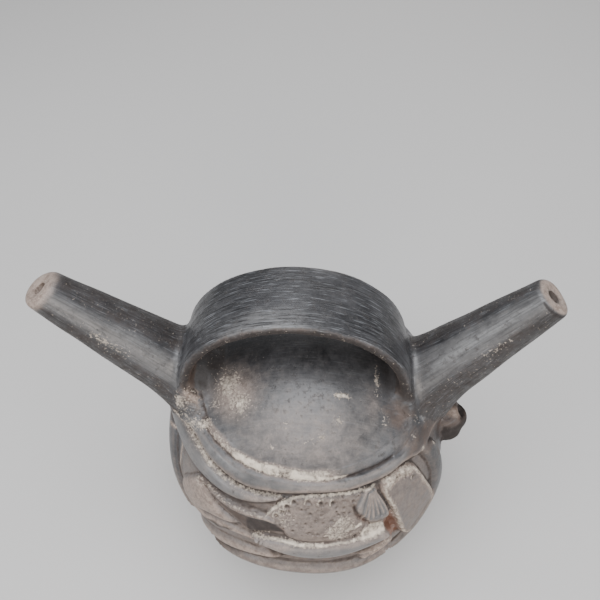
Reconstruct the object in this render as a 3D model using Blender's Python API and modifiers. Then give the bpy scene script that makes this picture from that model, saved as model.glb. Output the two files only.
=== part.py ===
"""Double-spout bottle of burnished black pottery, one hollow fired piece.

A round body with carved relief carries two tapered spouts and a strap that
bridges them. Each spout is bored through to the hollow body. The bottle
stands on its flat foot, centred on the origin, with the spouts along X and
the carved front towards -Y.
"""

import math

import bmesh
import bpy
import numpy as np
from mathutils import Matrix, Vector

# Body sizes, in metres and degrees
BELLY_RADIUS = 0.0625
BELLY_HEIGHT = 0.065
BELLY_RISE = 0.0665
BELLY_DROP = 0.070
CAP_EDGE = 43.0
CAP_RISE = 0.0185
WALL = 0.0055

# Carving, height above the ground of the body
RELIEF = 0.0025
ROLL_RISE = 0.0012
LIP_RISE = 0.0046
JAW_RISE = 0.0044
FOLD_RISE = 0.0033
GROOVE_DEPTH = 0.0012
DOT_RADIUS = 0.0014
DOT_STANDOFF = 0.0004
# Widths of the carved edges and latitudes where the carving ends, in degrees
NECK_EDGE = 1.2
GROOVE_HALF_WIDTH = 1.3
CARVED_FROM = -25.0
CARVED_TO = 80.0

# Spouts, one row a side: name, side, tilt from upright, length, slant of the mouth
SPOUTS = (
    ("left", -1, 42.6, 0.074, 14.0),
    ("right", 1, 36.1, 0.068, 0.0),
)
SPOUT_ROOT_LATITUDE = 41.0
SPOUT_ROOT_RADIUS = 0.0161
SPOUT_TIP_RADIUS = 0.0077
SPOUT_SUNK = 0.012
SPOUT_FLARE = 0.0022
SPOUT_FLARE_LENGTH = 0.020
BORE_RADIUS = 0.0021
MOUTH_RADIUS = 0.0048
MOUTH_DEPTH = 0.0018
CUT_PAST = 0.004

# Strap, its legs straight over a share of each half
STRAP_SPAN = 0.092
STRAP_RISE = 0.0434
STRAP_WIDTH = 0.030
STRAP_THICKNESS = 0.005
STRAP_SHIFT = -0.0045
STRAP_FORWARD = 0.0010
STRAP_LEG = 0.12
FINGER_GAP = 0.0265
FOOT_FLARE = 1.5
FOOT_FLARE_BACK = 1.1
FOOT_FLARE_HEIGHT = 0.016
FOOT_FLARE_ABOVE = 0.004

# Lug under the right spout, with a scoop on top placed and sized in shares of the lug
LUG_AZIMUTH = 86.0
LUG_LATITUDE = 18.0
LUG_REACH = 0.0115
LUG_HALF_WIDTH = 0.0085
LUG_HALF_HEIGHT = 0.0075
LUG_SCOOP = 0.0030
LUG_SCOOP_OUT = 0.45
LUG_SCOOP_SIZE = 0.59

# Fineness of the mesh
COLUMNS = 84
ROWS = 38
FRONT_COLUMNS = 0.66
BAND_ROWS = 0.66
TUBE_SIDES = 24
TUBE_RINGS = 6
BORE_SIDES = 16
CAVITY_STEPS = 32
STRAP_STEPS = 28
STRAP_SIDES = 14

# Degrees of azimuth and latitude that take the finer columns and rows
FRONT = (-92.0, 72.0)
BAND = (-16.0, 49.0)
# Rows of the sphere that make the flat foot
FOOT_ROWS = 2


def smooth_step(value):
    """Ease from 0 to 1."""
    share = np.clip(value, 0.0, 1.0)
    return share * share * (3.0 - 2.0 * share)


def smooth_path(points, closed=False, steps=6):
    """A Catmull-Rom curve through rows of numbers."""
    points = np.array(points, float)
    count = len(points)
    rows = []
    for index in range(count if closed else count - 1):
        if closed:
            near = [points[(index + step) % count] for step in (-1, 0, 1, 2)]
        else:
            near = [points[min(max(index + step, 0), count - 1)] for step in (-1, 0, 1, 2)]
        for share in np.arange(steps) / steps:
            a, b, c, d = near
            rows.append(0.5 * (2 * b + (c - a) * share
                               + (2 * a - 5 * b + 4 * c - d) * share ** 2
                               + (3 * b - a - 3 * c + d) * share ** 3))
    if not closed:
        rows.append(points[-1])
    return np.array(rows)


def nearest_on(path, azimuth, latitude):
    """Distance in degrees from each place to a path, and the path row there."""
    best = np.full(azimuth.shape, 1e9)
    row = np.zeros(azimuth.shape + (path.shape[1],))
    squeeze = np.cos(np.radians(latitude))
    for start, end in zip(path[:-1], path[1:]):
        run = end[:2] - start[:2]
        dx = (azimuth - start[0]) * squeeze
        dy = latitude - start[1]
        along_x = run[0] * squeeze
        share = (dx * along_x + dy * run[1]) / np.maximum(along_x ** 2 + run[1] ** 2, 1e-9)
        share = np.clip(share, 0.0, 1.0)
        distance = np.hypot(dx - share * along_x, dy - share * run[1])
        closer = distance < best
        best = np.where(closer, distance, best)
        row[closer] = (start + share[..., None] * (end - start))[closer]
    return best, row


def roll_on(path, azimuth, latitude):
    """Height share of a round roll; each path row is azimuth, latitude, half width."""
    distance, row = nearest_on(smooth_path(path), azimuth, latitude)
    return np.sqrt(np.clip(1.0 - (distance / row[..., 2]) ** 2, 0.0, 1.0))


def inside(outline, azimuth, latitude, edge):
    """Share from 0 outside a closed outline to 1 at `edge` degrees within it."""
    path = smooth_path(outline, closed=True)
    ring = np.vstack([path, path[:1]])
    distance, _ = nearest_on(ring, azimuth, latitude)
    crossings = np.zeros(azimuth.shape, int)
    for (x0, y0), (x1, y1) in zip(ring[:-1], ring[1:]):
        if y0 == y1:
            continue
        spans = (y0 > latitude) != (y1 > latitude)
        crossings += spans & (azimuth < x0 + (latitude - y0) * (x1 - x0) / (y1 - y0))
    signed = np.where(crossings % 2 == 1, distance, -distance)
    return smooth_step(0.5 + signed / edge)


# Carving, laid out in degrees of azimuth from the front and latitude from the belly
NECK_LINE = ((-180, 37.5, 0), (-90, 38.5, 0), (-54, 37.6, 0), (-37, 35.8, 0), (-20, 37.0, 0),
             (0, 37.9, 0), (21, 36.7, 0), (41, 35.3, 0), (50, 33.0, 0), (70, 32.0, 0), (110, 37.5, 0),
             (180, 37.5, 0))
CAP_LINE = ((-180, 45, 0), (-45, 44.5, 0), (-13, 45.6, 0), (14, 45, 0), (34, 42.7, 0), (43, 40.9, 0),
            (51, 39.3, 0), (75, 40, 0), (110, 45, 0), (180, 45, 0))
HORN = ((-86, 30, 3.6), (-72, 30, 4.4), (-61, 30.7, 4.5), (-51, 30.6, 4.6), (-41, 31.3, 3.7),
        (-32, 31.2, 3.0), (-25, 31.8, 2.5), (-17, 33.4, 1.5), (-9, 35.6, 0.4))
SIDE_FOLDS = (
    ((-100, 22, 3.0), (-88, 23, 5.5), (-78, 22, 6.0), (-71, 18, 5.5), (-66, 11, 4.5), (-61, 4, 3.0)),
    ((61, 33, 3.0), (64, 25, 4.0), (64, 15, 4.5), (61, 5, 4.5), (56, -4, 4.5), (48, -6, 4.5),
     (41, -2, 3.5)),
)
LONG_LEAF = ((-49, 24.2), (-38, 23.8), (-31, 23.6), (-24, 25.0), (-15, 25.6), (-11, 24.3), (-6, 22.0),
             (-15, 19.0), (-21, 15.6), (-27, 17.0), (-33, 19.6), (-41, 23.0))
BROAD_LEAF = ((-50, 23.7), (-44, 24.0), (-36, 21.3), (-32, 19.6), (-27, 18.6), (-25, 17.6),
              (-28, 15.3), (-33, 13.6), (-38, 9.5), (-46, 3), (-55, 1), (-58, 10))
LOW_LEAVES = (
    ((-62, -6, 2.5), (-50, 0, 3.0), (-40, 7, 2.4), (-31, 9.2, 2.0), (-22, 12.6, 0.5)),
    ((-54, -11, 2.5), (-42, -5, 3.0), (-30, 2, 2.4), (-20, 6.5, 1.8), (-12, 7.5, 0.5)),
)
PANEL = ((-14, 28.4), (-9, 34), (-4, 36.2), (12, 36.0), (24, 35.2), (32, 34.4), (33, 23), (33, 15),
         (26, 14), (11, 14.4), (0, 16.4), (-9, 18.6), (-13, 20.4), (-9, 24))
FAN = ((21, 33), (29, 35), (32, 26), (33, 20), (27, 19), (21, 22), (18, 28))
RECESS = (34.0, 12.5, 3.2, 7.0)
SHIELD = ((33.4, 34), (34.2, 23), (37, 8), (43, -2), (52, -8), (61, -2), (60, 12), (54.5, 22.5),
          (49, 33), (41, 36))
LIP = ((-19, 19.4, 2.0), (-15, 19.6, 2.8), (-8, 17.2, 3.3), (0, 14.6, 3.5), (10, 12.8, 3.6),
       (18, 12.5, 3.6), (26, 12.4, 3.2), (33, 12.8, 1.5))
JAW = ((-36, -2, 3.0), (-28, 1, 4.5), (-16, 4, 5.0), (-4, 1.5, 5.5), (9, -2, 5.5), (22, -4, 6.0),
       (30, -2, 5.0), (37, 2, 2.5))
GAP_UNDER_LIP = ((-14, 12.5, 1.6), (-4, 9, 2.0), (9, 6.5, 2.2), (20, 6, 2.0), (30, 7.5, 1.4))
DOTS = ((-4, 33.2), (2, 33.8), (7, 33.0), (12, 32.6), (37.5, 32.0), (41.8, 32.2), (46.4, 29.0), (49.3, 25.8))
BACK_LEAVES = range(112, 249, 34)
BACK_LEAF = ((-13, 20), (-6, 31), (0, 33), (6, 31), (13, 20), (8, 6), (0, -3), (-8, 6))


def height_of(line, azimuth):
    """Latitude of a line that runs round the body."""
    path = smooth_path(line)
    return np.interp(azimuth, path[:, 0], path[:, 1])


def relief(azimuth, latitude):
    """Height of the carving above the ground of the body, in metres."""
    neck = height_of(NECK_LINE, azimuth)
    cap = height_of(CAP_LINE, azimuth)
    middle = 0.5 * (neck + cap)
    half = 0.5 * (cap - neck)
    raised = RELIEF * smooth_step((latitude - neck) / NECK_EDGE + 0.5)
    raised += ROLL_RISE * np.sqrt(np.clip(1.0 - ((latitude - middle) / half) ** 2, 0.0, 1.0))
    raised -= GROOVE_DEPTH * np.exp(-((latitude - cap) / GROOVE_HALF_WIDTH) ** 2)
    forms = [
        RELIEF * 1.15 * roll_on(HORN, azimuth, latitude),
        RELIEF * 0.75 * inside(LONG_LEAF, azimuth, latitude, 2.6),
        RELIEF * inside(BROAD_LEAF, azimuth, latitude, 3.0),
        RELIEF * 0.7 * inside(PANEL, azimuth, latitude, 2.2),
        RELIEF * 1.1 * inside(FAN, azimuth, latitude, 2.6),
        RELIEF * 1.1 * inside(SHIELD, azimuth, latitude, 2.2),
        LIP_RISE * roll_on(LIP, azimuth, latitude),
        JAW_RISE * roll_on(JAW, azimuth, latitude),
    ]
    forms += [FOLD_RISE * roll_on(fold, azimuth, latitude) for fold in SIDE_FOLDS]
    forms += [RELIEF * 0.8 * roll_on(leaf, azimuth, latitude) for leaf in LOW_LEAVES]
    for turn in BACK_LEAVES:
        away = (azimuth - turn + 180.0) % 360.0 - 180.0
        forms.append(RELIEF * 0.8 * inside(BACK_LEAF, away, latitude, 4.0))
    for form in forms:
        raised = np.maximum(raised, form)
    raised -= RELIEF * roll_on(GAP_UNDER_LIP, azimuth, latitude)
    across, along, half_across, half_along = RECESS
    away = np.hypot((azimuth - across) / half_across, (latitude - along) / half_along)
    raised -= RELIEF * np.sqrt(np.clip(1.0 - away ** 2, 0.0, 1.0))
    return raised


def outline(latitude, inset=0.0):
    """Radius and height of the plain body at a latitude, moved in along its normal."""
    latitude = np.asarray(latitude, float)
    angle = np.radians(latitude)
    radius = BELLY_RADIUS * np.cos(angle)
    upward = np.where(latitude > 0, BELLY_RISE, BELLY_DROP)
    height = BELLY_HEIGHT + upward * np.sin(angle)
    edge = math.radians(CAP_EDGE)
    cap_radius = BELLY_RADIUS * math.cos(edge)
    share = np.clip((90.0 - latitude) / (90.0 - CAP_EDGE), 0.0, 1.0)
    on_cap = latitude > CAP_EDGE
    radius = np.where(on_cap, cap_radius * share, radius)
    dome = BELLY_HEIGHT + BELLY_RISE * math.sin(edge) + CAP_RISE * (1.0 - share ** 2)
    height = np.where(on_cap, dome, height)
    slope = np.where(on_cap, np.arctan2(cap_radius, 2.0 * CAP_RISE * share + 1e-9), angle)
    radius = np.maximum(radius - inset * np.cos(slope), 0.0)
    height = height - inset * np.sin(slope)
    return radius, np.maximum(height, inset), slope


def foot_latitude():
    """Latitude where the body meets the table."""
    return -math.degrees(math.asin(min(BELLY_HEIGHT / BELLY_DROP, 1.0)))


def cap_height(radius):
    """Height of the cap's surface, carving included, at a distance from the axis."""
    latitudes = np.linspace(90.0, 0.0, 361)
    radii, heights, _ = outline(latitudes, -RELIEF)
    return float(np.interp(radius, radii, heights))


def place(azimuth, latitude, lift):
    """Points on the body at a lift above its ground."""
    radius, height, slope = outline(latitude)
    radius = radius + lift * np.cos(slope)
    height = height + lift * np.sin(slope)
    turn = np.radians(azimuth)
    return np.stack([radius * np.sin(turn), -radius * np.cos(turn), height], axis=-1)


def spread(share, low, high, inner, whole):
    """Map an even share to a range that gives `inner` of its steps to low..high."""
    start, end = whole
    outer = (low - start) + (end - high)
    first = (1.0 - inner) * (low - start) / outer
    return np.interp(share, [0.0, first, first + inner, 1.0], [start, low, high, end])


def new_object(name, mesh_data, collection):
    thing = bpy.data.objects.new(name, mesh_data)
    collection.objects.link(thing)
    return thing


def mesh_from(name, shape):
    """A mesh data-block from a bmesh, with its faces turned outwards."""
    bmesh.ops.recalc_face_normals(shape, faces=shape.faces)
    data = bpy.data.meshes.new(name)
    shape.to_mesh(data)
    shape.free()
    return data


def carved_body():
    """The solid body: a sphere whose rings and columns take the carved outline."""
    shape = bmesh.new()
    bmesh.ops.create_uvsphere(shape, u_segments=COLUMNS, v_segments=ROWS, radius=1.0)
    verts = list(shape.verts)
    points = np.array([v.co[:] for v in verts])
    ring = np.degrees(np.arcsin(np.clip(points[:, 2], -1.0, 1.0))) / 180.0 + 0.5
    column = (np.degrees(np.arctan2(points[:, 0], -points[:, 1])) / 360.0 + 0.5) % 1.0
    azimuth = spread(column, *FRONT, FRONT_COLUMNS, (-180.0, 180.0))
    row = np.round(ring * ROWS)
    above = np.clip((row - FOOT_ROWS) / (ROWS - FOOT_ROWS), 0.0, 1.0)
    latitude = spread(above, *BAND, BAND_ROWS, (foot_latitude(), 90.0))
    lift = relief(azimuth, latitude)
    lift = np.where(latitude > CARVED_TO, RELIEF, lift)
    lift = np.where(latitude < CARVED_FROM, 0.0, lift)
    places = place(azimuth, latitude, lift)
    places[:, :2] *= np.minimum(row / FOOT_ROWS, 1.0)[:, None]
    places[row <= FOOT_ROWS, 2] = 0.0
    for vert, target in zip(verts, places):
        vert.co = target
    return mesh_from("body", shape)


def hollow(collection):
    """The cavity, a turned shape one wall inside the ground of the body."""
    latitudes = np.concatenate([np.linspace(90.0, CAP_EDGE, 6), np.linspace(34.0, foot_latitude(), 11)])
    radii, heights, _ = outline(latitudes, WALL)
    radii[0] = 0.0
    rows = [(float(r), 0.0, float(h)) for r, h in zip(radii, heights)]
    rows.append((0.0, 0.0, WALL))
    data = bpy.data.meshes.new("hollow")
    data.from_pydata(rows, [(i, i + 1) for i in range(len(rows) - 1)], [])
    thing = new_object("hollow", data, collection)
    turn = thing.modifiers.new("turn", "SCREW")
    turn.axis = "Z"
    turn.steps = CAVITY_STEPS
    turn.render_steps = CAVITY_STEPS
    turn.use_merge_vertices = True
    turn.merge_threshold = 0.0001
    return thing


def tapered_tube(name, base, direction, length, radii, collection, slant=0.0, flare_from=None):
    """A taper from base along direction.

    Slant tips its far end face upright. With flare_from, the distance from base to the root,
    the tube is made in rings and swells towards that root.
    """
    shape = bmesh.new()
    sides = BORE_SIDES if flare_from is None else TUBE_SIDES
    bmesh.ops.create_cone(shape, cap_ends=True, segments=sides, radius1=radii[0], radius2=radii[1],
                          depth=length)
    bmesh.ops.translate(shape, verts=shape.verts, vec=(0, 0, length / 2))
    past_last_ring = length * (1.0 - 0.5 / (TUBE_RINGS + 1))
    if flare_from is not None:
        lengthwise = [e for e in shape.edges if abs(e.verts[0].co.z - e.verts[1].co.z) > length / 2]
        bmesh.ops.subdivide_edges(shape, edges=lengthwise, cuts=TUBE_RINGS, use_grid_fill=True)
    ahead = Vector(direction).normalized()
    across = Vector((0, 1, 0)).cross(ahead).normalized()
    frame = Matrix((across, (0, 1, 0), ahead)).transposed()
    lean = math.copysign(math.tan(math.radians(slant)), ahead.x)
    for vert in shape.verts:
        if vert.co.z > past_last_ring:
            vert.co.z += lean * vert.co.x
        elif flare_from is not None:
            share = min(max(1.0 - (vert.co.z - flare_from) / SPOUT_FLARE_LENGTH, 0.0), 1.0)
            vert.co.xy *= 1.0 + SPOUT_FLARE * share ** 2 / vert.co.xy.length
        vert.co = Vector(base) + frame @ vert.co
    return new_object(name, mesh_from(name, shape), collection)


def spout_line(side, tilt):
    """The point where a spout's axis meets the body, and the axis direction."""
    root = place(np.array(90.0 * side), np.array(SPOUT_ROOT_LATITUDE), np.array(0.0))
    lean = math.radians(tilt)
    return Vector(root), Vector((side * math.sin(lean), 0.0, math.cos(lean)))


def spout(name, side, tilt, length, slant, parts, cutters):
    """One spout, its bore and the shallow dish round its mouth."""
    root, ahead = spout_line(side, tilt)
    taper = (SPOUT_ROOT_RADIUS - SPOUT_TIP_RADIUS) / length
    tube = tapered_tube("spout_" + name, root - ahead * SPOUT_SUNK, ahead, length + SPOUT_SUNK,
                        (SPOUT_ROOT_RADIUS + taper * SPOUT_SUNK, SPOUT_TIP_RADIUS), parts, slant, SPOUT_SUNK)
    deep = SPOUT_SUNK + WALL
    bore = tapered_tube("bore_" + name, root - ahead * deep, ahead, length + deep + CUT_PAST,
                        (SPOUT_ROOT_RADIUS - WALL, BORE_RADIUS), cutters)
    tip = root + ahead * length
    dish_tilt = math.radians(tilt - slant)
    dish_way = Vector((side * math.sin(dish_tilt), 0.0, math.cos(dish_tilt)))
    widening = (MOUTH_RADIUS - BORE_RADIUS) / MOUTH_DEPTH
    dish = tapered_tube("dish_" + name, tip - dish_way * MOUTH_DEPTH, dish_way, MOUTH_DEPTH + CUT_PAST,
                        (BORE_RADIUS, MOUTH_RADIUS + widening * CUT_PAST), cutters)
    return tube, bore, dish


def strap(collection):
    """The strap: a flat oval bar bent over the cap, wider and thicker at its feet."""
    shape = bmesh.new()
    bmesh.ops.create_cone(shape, cap_ends=True, segments=STRAP_SIDES, radius1=1.0, radius2=1.0, depth=2.0)
    lengthwise = [e for e in shape.edges if abs(e.verts[0].co.z - e.verts[1].co.z) > 1.0]
    bmesh.ops.subdivide_edges(shape, edges=lengthwise, cuts=STRAP_STEPS - 1, use_grid_fill=True)
    top = cap_height(abs(STRAP_SHIFT)) + FINGER_GAP + STRAP_THICKNESS / 2
    half_span = STRAP_SPAN / 2 - STRAP_THICKNESS / 2
    spring = top - STRAP_RISE + STRAP_THICKNESS / 2
    rise = top - spring
    for vert in shape.verts:
        across, through, along = vert.co
        side = 1.0 if along > 0 else -1.0
        leg_x = STRAP_SHIFT + side * half_span
        foot = cap_height(abs(leg_x)) - WALL
        reach = abs(along)
        if reach > 1.0 - STRAP_LEG:
            drop = (reach - 1.0 + STRAP_LEG) / STRAP_LEG
            middle = Vector((leg_x, 0, spring + (foot - spring) * drop))
            outward = Vector((side, 0, 0))
        else:
            bend = math.radians(90.0 * reach / (1.0 - STRAP_LEG))
            sine, cosine = side * math.sin(bend), math.cos(bend)
            middle = Vector((STRAP_SHIFT + half_span * sine, 0, spring + rise * cosine))
            outward = Vector((rise * sine, 0, half_span * cosine)).normalized()
        low = float(smooth_step((spring + FOOT_FLARE_ABOVE - middle.z) / FOOT_FLARE_HEIGHT))
        grow = 1.0 + (FOOT_FLARE - 1.0) * low
        grow_wide = grow if across < 0 else 1.0 + (FOOT_FLARE_BACK - 1.0) * low
        square = max(abs(across), abs(through)) ** -0.5
        wide = STRAP_WIDTH / 2 * grow_wide * across * square
        thick = STRAP_THICKNESS / 2 * grow * through * square
        vert.co = middle + outward * thick + Vector((0, wide - STRAP_FORWARD, 0))
    return new_object("strap", mesh_from("strap", shape), collection)


def lug(collection):
    """A rounded ear below the right spout, scooped on top."""
    shape = bmesh.new()
    bmesh.ops.create_uvsphere(shape, u_segments=16, v_segments=10, radius=1.0)
    middle = Vector(place(np.array(LUG_AZIMUTH), np.array(LUG_LATITUDE), np.array(0.0)))
    turn = Matrix.Rotation(math.radians(LUG_AZIMUTH - 90.0), 3, "Z")
    for vert in shape.verts:
        out, side, up = vert.co
        away = math.hypot(out - LUG_SCOOP_OUT, side) / LUG_SCOOP_SIZE
        scoop = LUG_SCOOP * max(0.0, up) * max(0.0, 1.0 - away ** 2)
        local = Vector((out * LUG_REACH, side * LUG_HALF_WIDTH, up * LUG_HALF_HEIGHT - scoop))
        vert.co = middle + turn @ local
    return new_object("lug", mesh_from("lug", shape), collection)


def dot_cutters(collection):
    """Small round pits punched along the edges of the panel and the shield."""
    made = []
    for number, (azimuth, latitude) in enumerate(DOTS):
        spot = (np.array([float(azimuth)]), np.array([float(latitude)]))
        centre = place(*spot, relief(*spot) + DOT_STANDOFF)[0]
        shape = bmesh.new()
        bmesh.ops.create_icosphere(shape, subdivisions=1, radius=DOT_RADIUS,
                                   matrix=Matrix.Translation(Vector(centre)))
        made.append(new_object(f"dot_{number}", mesh_from(f"dot_{number}", shape), collection))
    return made


def combine(target, other, operation):
    joint = target.modifiers.new(other.name, "BOOLEAN")
    joint.operation = operation
    joint.solver = "EXACT"
    joint.object = other


def black_pottery():
    """Reduced, stone-burnished clay: near black with a soft grey sheen."""
    finish = bpy.data.materials.new("burnished_black_pottery")
    finish.use_nodes = True
    shader = finish.node_tree.nodes["Principled BSDF"]
    shader.inputs["Base Color"].default_value = (0.055, 0.057, 0.060, 1.0)
    shader.inputs["Roughness"].default_value = 0.38
    shader.inputs["Metallic"].default_value = 0.0
    finish.diffuse_color = (0.12, 0.12, 0.13, 1.0)
    return finish


def build():
    for old in list(bpy.data.objects):
        bpy.data.objects.remove(old, do_unlink=True)
    parts = bpy.data.collections.new("double_spout_bottle")
    cutters = bpy.data.collections.new("cutters")
    for collection in (parts, cutters):
        bpy.context.scene.collection.children.link(collection)

    bottle = new_object("bottle", carved_body(), parts)
    added = [strap(cutters), lug(cutters)]
    removed = [hollow(cutters)] + dot_cutters(cutters)
    for name, side, tilt, length, slant in SPOUTS:
        tube, bore, dish = spout(name, side, tilt, length, slant, cutters, cutters)
        added.append(tube)
        removed += [bore, dish]
    for other in added:
        combine(bottle, other, "UNION")
    for other in removed:
        combine(bottle, other, "DIFFERENCE")
    for guide in added + removed:
        guide.hide_render = True
        guide.display_type = "WIRE"

    bottle.data.materials.append(black_pottery())
    bottle.data.shade_smooth()
    bottle.data.set_sharp_from_angle(angle=math.radians(50.0))


build()
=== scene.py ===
"""Looks of a double-spout bottle of burnished black pottery.

Lengths in the shaping code are millimetres and turn to metres when the mesh is made.
Places on the body are given as degrees of azimuth from the carved front and of latitude
from the belly, as in the part's source.
"""
import math

import bmesh
import bpy
import numpy as np
from mathutils import Matrix, Vector


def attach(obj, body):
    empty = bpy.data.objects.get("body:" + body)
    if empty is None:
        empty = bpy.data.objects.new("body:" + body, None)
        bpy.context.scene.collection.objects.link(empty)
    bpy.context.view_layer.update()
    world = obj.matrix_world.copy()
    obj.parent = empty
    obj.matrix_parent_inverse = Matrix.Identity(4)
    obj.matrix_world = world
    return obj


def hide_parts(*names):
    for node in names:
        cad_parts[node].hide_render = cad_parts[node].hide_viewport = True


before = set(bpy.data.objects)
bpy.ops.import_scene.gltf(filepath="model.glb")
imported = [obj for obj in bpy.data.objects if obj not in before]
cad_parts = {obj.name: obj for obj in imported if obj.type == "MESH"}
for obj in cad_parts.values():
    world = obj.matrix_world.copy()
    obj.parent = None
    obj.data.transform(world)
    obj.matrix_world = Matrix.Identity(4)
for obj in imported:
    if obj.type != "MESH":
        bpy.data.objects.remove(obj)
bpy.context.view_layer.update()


# ----------------------------------------
# The body: a hollow ball with a low domed cap, coiled from dark clay. Its outline here is
# the plain ground, before the carver's relief is laid on it.
BELLY_RADIUS = 62.5
BELLY_HEIGHT = 65.0
BELLY_RISE = 66.5  # from the belly up to the pole that the round body would reach
BELLY_DROP = 70.0  # and down to the one below, cut off by the flat foot
CAP_EDGE = 43.0  # latitude at which the domed cap begins
CAP_RISE = 18.5
RELIEF = 2.5  # the neck and cap stand this far over the ground of the carving
WALL = 5.5
CAP_RADIUS = BELLY_RADIUS * math.cos(math.radians(CAP_EDGE))
CAP_SPRING = BELLY_HEIGHT + BELLY_RISE * math.sin(math.radians(CAP_EDGE))


def ease(value):
    share = np.clip(value, 0.0, 1.0)
    return share * share * (3.0 - 2.0 * share)


def profile(latitude):
    """Radius, height and slope of the plain body at a latitude."""
    latitude = np.asarray(latitude, float)
    angle = np.radians(latitude)
    upward = np.where(latitude > 0, BELLY_RISE, BELLY_DROP)
    radius = BELLY_RADIUS * np.cos(angle)
    height = BELLY_HEIGHT + upward * np.sin(angle)
    share = np.clip((90.0 - latitude) / (90.0 - CAP_EDGE), 0.0, 1.0)
    on_cap = latitude > CAP_EDGE
    radius = np.where(on_cap, CAP_RADIUS * share, radius)
    height = np.where(on_cap, CAP_SPRING + CAP_RISE * (1.0 - share ** 2), height)
    slope = np.where(on_cap, np.arctan2(CAP_RADIUS, 2.0 * CAP_RISE * share + 1e-9), angle)
    return radius, height, slope


def body_place(points):
    """Azimuth, latitude and distance from the plain body of points in space."""
    radius = np.hypot(points[:, 0], points[:, 1])
    height = points[:, 2] - BELLY_HEIGHT
    upward = np.where(height > 0, BELLY_RISE, BELLY_DROP)
    latitude = np.degrees(np.arctan2(height / upward, radius / BELLY_RADIUS))
    share = np.clip(radius / CAP_RADIUS, 0.0, 1.0)
    latitude = np.where(latitude > CAP_EDGE, 90.0 - share * (90.0 - CAP_EDGE), latitude)
    on_radius, on_height, slope = profile(latitude)
    gap = (radius - on_radius) * np.cos(slope) + (points[:, 2] - on_height) * np.sin(slope)
    azimuth = np.degrees(np.arctan2(points[:, 0], -points[:, 1]))
    return azimuth, latitude, gap


# ----------------------------------------
# The carving: coiled and leaf-like forms cut into the leather-hard clay round the front, a
# panel roughened with small punched pits, and a plain rounded band at the neck. It is kept
# as a sheet of heights wrapped round the body.
STEP = 0.3  # degrees between the points of the sheet
SHEET_FOOT = -42.0
SHEET_TOP = 62.0
AZIMUTHS = np.arange(-180.0, 180.0 + STEP / 2, STEP)
LATITUDES = np.arange(SHEET_FOOT, SHEET_TOP + STEP / 2, STEP)
AZ, LAT = np.meshgrid(AZIMUTHS, LATITUDES, indexing="ij")
SQUEEZE = np.cos(np.radians(LAT))


def curve(points, closed=False, steps=6):
    """A smooth path through rows of numbers."""
    points = np.array(points, float)
    count = len(points)
    rows = []
    for index in range(count if closed else count - 1):
        if closed:
            near = [points[(index + step) % count] for step in (-1, 0, 1, 2)]
        else:
            near = [points[min(max(index + step, 0), count - 1)] for step in (-1, 0, 1, 2)]
        a, b, c, d = near
        for share in np.arange(steps) / steps:
            rows.append(0.5 * (2 * b + (c - a) * share + (2 * a - 5 * b + 4 * c - d) * share ** 2
                               + (3 * b - a - 3 * c + d) * share ** 3))
    rows.append(rows[0] if closed else points[-1])
    return np.array(rows)


def window(path, margin):
    """The part of the sheet within a margin of a path, as two slices."""
    wide = margin / math.cos(math.radians(min(abs(path[:, 1]).max(), 60.0)))
    low = np.searchsorted(AZIMUTHS, path[:, 0].min() - wide)
    high = np.searchsorted(AZIMUTHS, path[:, 0].max() + wide)
    under = np.searchsorted(LATITUDES, path[:, 1].min() - margin)
    over = np.searchsorted(LATITUDES, path[:, 1].max() + margin)
    return slice(low, high), slice(under, over)


def distance_to(path, part):
    """Distance in degrees from the sheet to a path, signed to its left, and the path row."""
    azimuth, latitude, squeeze = AZ[part], LAT[part], SQUEEZE[part]
    best = np.full(azimuth.shape, 1e9)
    side = np.ones(azimuth.shape)
    row = np.zeros(azimuth.shape + (path.shape[1],))
    for start, end in zip(path[:-1], path[1:]):
        dx = (azimuth - start[0]) * squeeze
        dy = latitude - start[1]
        run_x = (end[0] - start[0]) * squeeze
        run_y = end[1] - start[1]
        share = np.clip((dx * run_x + dy * run_y) / np.maximum(run_x ** 2 + run_y ** 2, 1e-9), 0, 1)
        distance = np.hypot(dx - share * run_x, dy - share * run_y)
        closer = distance < best
        best = np.where(closer, distance, best)
        side = np.where(closer, np.sign(run_x * dy - run_y * dx + 1e-12), side)
        row[closer] = (start + share[..., None] * (end - start))[closer]
    return best, side, row


def raise_roll(sheet, points, rise, margin=9.0):
    """A round roll; each point is azimuth, latitude, half width in degrees."""
    path = curve(points)
    part = window(path, margin)
    distance, _, row = distance_to(path, part)
    roll = rise * np.sqrt(np.clip(1.0 - (distance / np.maximum(row[..., 2], 0.05)) ** 2, 0.0, 1.0))
    sheet[part] = np.maximum(sheet[part], roll)


def inside(path, azimuth, latitude):
    """Whether places lie within a closed path."""
    crossings = np.zeros(np.shape(azimuth), int)
    for (x0, y0), (x1, y1) in zip(path[:-1, :2], path[1:, :2]):
        if y0 == y1:
            continue
        spans = (y0 > latitude) != (y1 > latitude)
        crossings += spans & (azimuth < x0 + (latitude - y0) * (x1 - x0) / (y1 - y0))
    return crossings % 2 == 1


def depth_in(points, margin):
    """Degrees inside a closed outline, below nought outside it."""
    path = curve(points, closed=True)
    part = window(path, margin)
    distance, _, _ = distance_to(path, part)
    return part, np.where(inside(path, AZ[part], LAT[part]), distance, -distance)


def raise_form(sheet, points, rise, edge, crown=0.0):
    """A form with an outline, a rounded shoulder `edge` degrees wide and a crown in the middle."""
    part, depth = depth_in(points, edge + 1.0)
    shoulder = np.sqrt(np.clip(1.0 - (1.0 - np.clip(depth / edge, 0.0, 1.0)) ** 2, 0.0, 1.0))
    sheet[part] = np.maximum(sheet[part], (rise + crown * ease(depth / (edge * 3.0))) * shoulder)


def edge_of(points, width, inset=0.0):
    """The outline of a form as a closed line, drawn in towards its middle by a share."""
    middle_a, middle_b = np.mean(np.array(points, float), axis=0)
    return [(a + inset * (middle_a - a), b + inset * (middle_b - b), width)
            for a, b in (*points, points[0])]


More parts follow.
